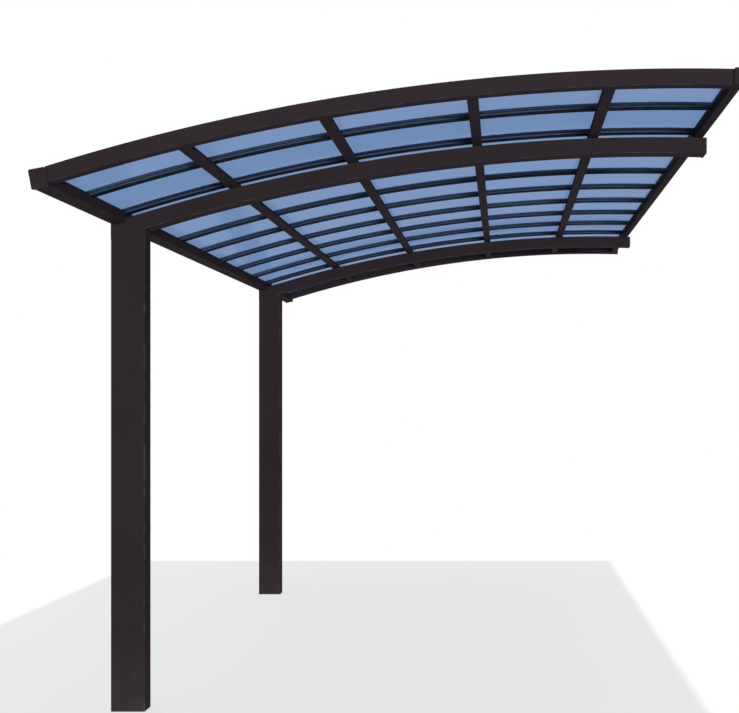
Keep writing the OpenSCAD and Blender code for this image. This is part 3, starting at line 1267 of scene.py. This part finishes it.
@dataclass(frozen=True)
class Glazing:
    """The sheets and what holds them: bars under the joints, strips over them, seals, screws."""

    layout: Layout
    bar_edge_r: float = 0.0010
    # black sole under each bar: painted shade on its underside and lower sides
    shade_sole_h: float = 0.0060
    shade_sole_slack: float = 0.00006
    cover_r: float = 0.003
    seal_w: float = 0.0016
    seal_h: float = 0.0020
    seal_r: float = 0.00128
    seal_steps: int = 48
    screw_r: float = 0.0046
    screw_pitch: float = 0.290
    screw_margin: float = 0.120

    def build(self) -> None:
        """Builds and dresses the sheets, then each joint."""
        for number in range(1, self.layout.joint_count + 2):
            self._sheet(number)
        for number in range(1, self.layout.joint_count + 1):
            self._bar(number)
            self._cover(number)
            self._seals(number)
        self._screws()

    def _sheet(self, number: int) -> None:
        """Sweeps one clear sheet, from rib to rib or into a fascia's slot.

        Args:
            number: Place of the sheet, counted from 1 at the front.
        """
        lay = self.layout
        rib_side = lay.bar_rib_w / 2 + lay.sheet_edge_gap
        slot_side = lay.fascia_w - lay.slot_d + lay.sheet_edge_gap
        low_y = lay.joint_y(number - 1) + rib_side
        high_y = lay.joint_y(number) - rib_side
        if number == 1:
            low_y = lay.roof_front_y + slot_side
        if number > lay.joint_count:
            high_y = lay.roof_rear_y - slot_side
        corners = box_outline((0.0, high_y - low_y), (lay.sheet_low, lay.sheet_high))
        shaper = Shaper(lay)
        shaper.along_arc(corners, low_y, lay.sheet_phis)
        node = f"roof_sheet_{number}"
        shaper.publish(f"{node}_clear", [CLEAR], Slot.ROOF_SHEET, [node])

    def _bar(self, number: int) -> None:
        """Sweeps the bar under one joint: a flat bar with a rib between the sheets.

        Args:
            number: Place of the joint, counted from 1 at the front.
        """
        lay, r = self.layout, self.bar_edge_r
        half, rib = lay.bar_w / 2, lay.bar_rib_w / 2
        low, seat = lay.bar_low, lay.bar_high
        shade_sole_top, top = low + self.shade_sole_h, seat + lay.sheet_t
        corners = [
            (-half, low, r),
            (half, low, r),
            (half, shade_sole_top, 0),
            (half, seat, 0),
            (rib, seat, 0),
            (rib, top, 0),
            (-rib, top, 0),
            (-rib, seat, 0),
            (-half, seat, 0),
            (-half, shade_sole_top, 0),
        ]
        shaper = Shaper(lay)
        shaper.from_gutter(corners, lay.joint_y(number))
        # the sole is painted shade: black rubber where the bar's underside and lower sides lie in
        # shadow
        self._paint_shade_sole(shaper)
        node = f"glazing_bar_{number}"
        shaper.publish(f"{node}_section", [SLATE, RUBBER], Slot.GLAZING_BAR, [node])

    def _paint_shade_sole(self, shaper: Shaper) -> None:
        """Gives a bar a black rubber sole that lies on the purlins and wraps its lower edges,
        painted shade for the bar's shadowed underside.

        Args:
            shaper: Mesh that holds one bar.
        """
        lay = self.layout
        shade_sole_r = lay.base_r + lay.bar_low + self.shade_sole_h + self.shade_sole_slack
        for face in shaper.mesh.faces:
            if all((v.co - lay.centre).xz.length < shade_sole_r for v in face.verts):
                face.material_index = 1

    def _cover(self, number: int) -> None:
        """Sweeps the strip over one joint: two legs on the sheets and a rib on the bar.

        Args:
            number: Place of the joint, counted from 1 at the front.
        """
        lay, wall, r = self.layout, self.layout.bar_wall, self.cover_r
        half, rib = lay.bar_w / 2, lay.bar_rib_w / 2
        low, high = lay.cover_low, lay.cover_low + lay.cover_h
        web = high - wall
        corners = [
            (-half, low, 0),
            (wall - half, low, 0),
            (wall - half, web, 0),
            (-rib, web, 0),
            (-rib, low, 0),
            (rib, low, 0),
            (rib, web, 0),
            (half - wall, web, 0),
            (half - wall, low, 0),
            (half, low, 0),
            (half, high, r),
            (-half, high, r),
        ]
        shaper = Shaper(lay)
        shaper.along_arc(corners, lay.joint_y(number), (lay.sheet_phis[0], lay.bar_phis[1]))
        node = f"cover_strip_{number}"
        shaper.publish(f"{node}_section", [BRONZE], Slot.FRAME, [node])

    def _seals(self, number: int) -> None:
        """Sweeps the rubber beads that close one joint, two under the sheets and two over them.

        Args:
            number: Place of the joint, counted from 1 at the front.
        """
        lay = self.layout
        half, out = lay.bar_w / 2, lay.bar_w / 2 + self.seal_w
        shaper = Shaper(lay)
        for face_n, way in ((lay.sheet_low, -1), (lay.sheet_high, 1)):
            far = face_n + way * self.seal_h
            for side in (-1, 1):
                corners = [
                    (side * half, face_n, 0),
                    (side * out, face_n, 0),
                    (side * out, far, self.seal_r),
                    (side * half, far, 0),
                ]
                shaper.from_gutter(corners, lay.joint_y(number), self.seal_steps)
        shaper.publish(f"glazing_seal_{number}", [RUBBER], Slot.GLAZING_BAR)

    def _screws(self) -> None:
        """Sets the screws along the middle of each cover strip."""
        lay = self.layout
        low, high = lay.bar_phis
        margin = lay.angle_of(self.screw_margin)
        count = round((high - low - 2 * margin) / lay.angle_of(self.screw_pitch))
        step = (high - low - 2 * margin) / count
        tray = ScrewTray(lay, self.screw_r)
        for number in range(1, lay.joint_count + 1):
            for place in range(count + 1):
                stand = lay.roof_frame(low + margin + place * step)
                seat = stand @ Vector((0, lay.joint_y(number), lay.cover_low + lay.cover_h))
                tray.add(seat, stand.to_3x3() @ Vector((0, 0, 1)))
        tray.publish("cover_strip_screws", Slot.FRAME)


@dataclass(frozen=True)
class Softbox:
    """One rectangular area light: its middle, the point that it faces, its size and its watts."""

    name: str
    place: Point
    target: Point
    size: Span
    power: float
    mirrored: bool = True

    def hang(self) -> None:
        """Makes the light and turns it to its target."""
        data = bpy.data.lights.new(self.name, "AREA")
        data.shape = "RECTANGLE"
        data.size, data.size_y = self.size
        data.energy = self.power
        lamp = bpy.data.objects.new(self.name, data)
        lamp.location = self.place
        way = Vector(self.target) - Vector(self.place)
        lamp.rotation_euler = way.to_track_quat("-Z", "Y").to_euler()
        lamp.visible_glossy = self.mirrored
        bpy.context.scene.collection.objects.link(lamp)


@dataclass(frozen=True)
class Studio:
    """Pale floor, white surround, soft lights, and the camera at the photograph's angle."""

    focal_px: float = 1156.0
    image_w: int = 739
    image_h: int = 713
    vanish_px: Span = (503.5, 400.3)
    eye: Point = (1.879, -5.830, 1.5575)
    sensor_w: float = 36.0
    sight: float = 200.0
    floor_half: float = 30.0
    floor_cells: int = 8
    floor_gap: float = 0.0005
    surround: float = 0.45
    softboxes: tuple[Softbox, ...] = (
        Softbox("key_softbox", (9.0, -24.0, 0.75), (1.3, 1.5, 2.2), (10.0, 1.3), 10000.0),
        Softbox("rear_softbox", (-14.0, 23.0, 0.75), (1.3, 2.0, 2.2), (10.0, 1.3), 10000.0, False),
        Softbox("top_softbox", (1.4, 1.7, 9.0), (1.4, 1.75, 0.0), (9.0, 9.0), 400.0),
    )

    def build(self) -> None:
        """Builds the camera, the floor, the surround and the lights."""
        self._camera()
        self._floor()
        self._surround()
        for softbox in self.softboxes:
            softbox.hang()
        bpy.context.scene.view_settings.view_transform = "Standard"

    def _camera(self) -> None:
        """Sets a level camera along +Y, shifted so that the vanishing point falls in place."""
        data = bpy.data.cameras.new("photo_camera")
        data.sensor_width = self.sensor_w
        data.lens = self.sensor_w * self.focal_px / self.image_w
        data.shift_x = (self.image_w / 2 - self.vanish_px[0]) / self.image_w
        data.shift_y = (self.vanish_px[1] - self.image_h / 2) / self.image_w
        data.clip_end = self.sight
        camera = bpy.data.objects.new("photo_camera", data)
        camera.location = self.eye
        camera.rotation_euler = (math.pi / 2, 0, 0)
        bpy.context.scene.collection.objects.link(camera)
        bpy.context.scene.camera = camera

    def _floor(self) -> None:
        """Lays the floor just under the posts' feet."""
        mesh = bmesh.new()
        bmesh.ops.create_grid(
            mesh,
            x_segments=self.floor_cells,
            y_segments=self.floor_cells,
            size=self.floor_half,
            matrix=Matrix.Translation((0, 0, -self.floor_gap)),
        )
        data = bpy.data.meshes.new("studio_floor")
        mesh.to_mesh(data)
        mesh.free()
        data.materials.append(material_of(FLOOR))
        floor = bpy.data.objects.new("studio_floor", data)
        bpy.context.scene.collection.objects.link(floor)

    def _surround(self) -> None:
        """Makes a surround that is white to the eye and softer as a light."""
        world = bpy.data.worlds.new("white_surround")
        world.use_nodes = True
        graph = NodeGraph(world.node_tree)
        seen = graph.add("ShaderNodeLightPath", output="Is Camera Ray")
        strength = self.surround + seen * (1.0 - self.surround)
        white = {"Color": (1, 1, 1, 1), "Strength": strength}
        sky = graph.add("ShaderNodeBackground", None, white)
        graph.add("ShaderNodeOutputWorld", None, {"Surface": sky})
        bpy.context.scene.world = world


def main() -> None:
    """Builds the studio and every assembly in order."""
    logging.basicConfig(level=logging.INFO, format="%(name)s %(message)s")
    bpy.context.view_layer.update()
    layout = Layout()
    for assembly in (
        Studio(),
        Posts(layout),
        Arms(layout),
        RoofEdges(layout),
        Purlins(layout),
        Glazing(layout),
    ):
        LOG.info("building %s", type(assembly).__name__)
        assembly.build()


if __name__ == "__main__":
    main()
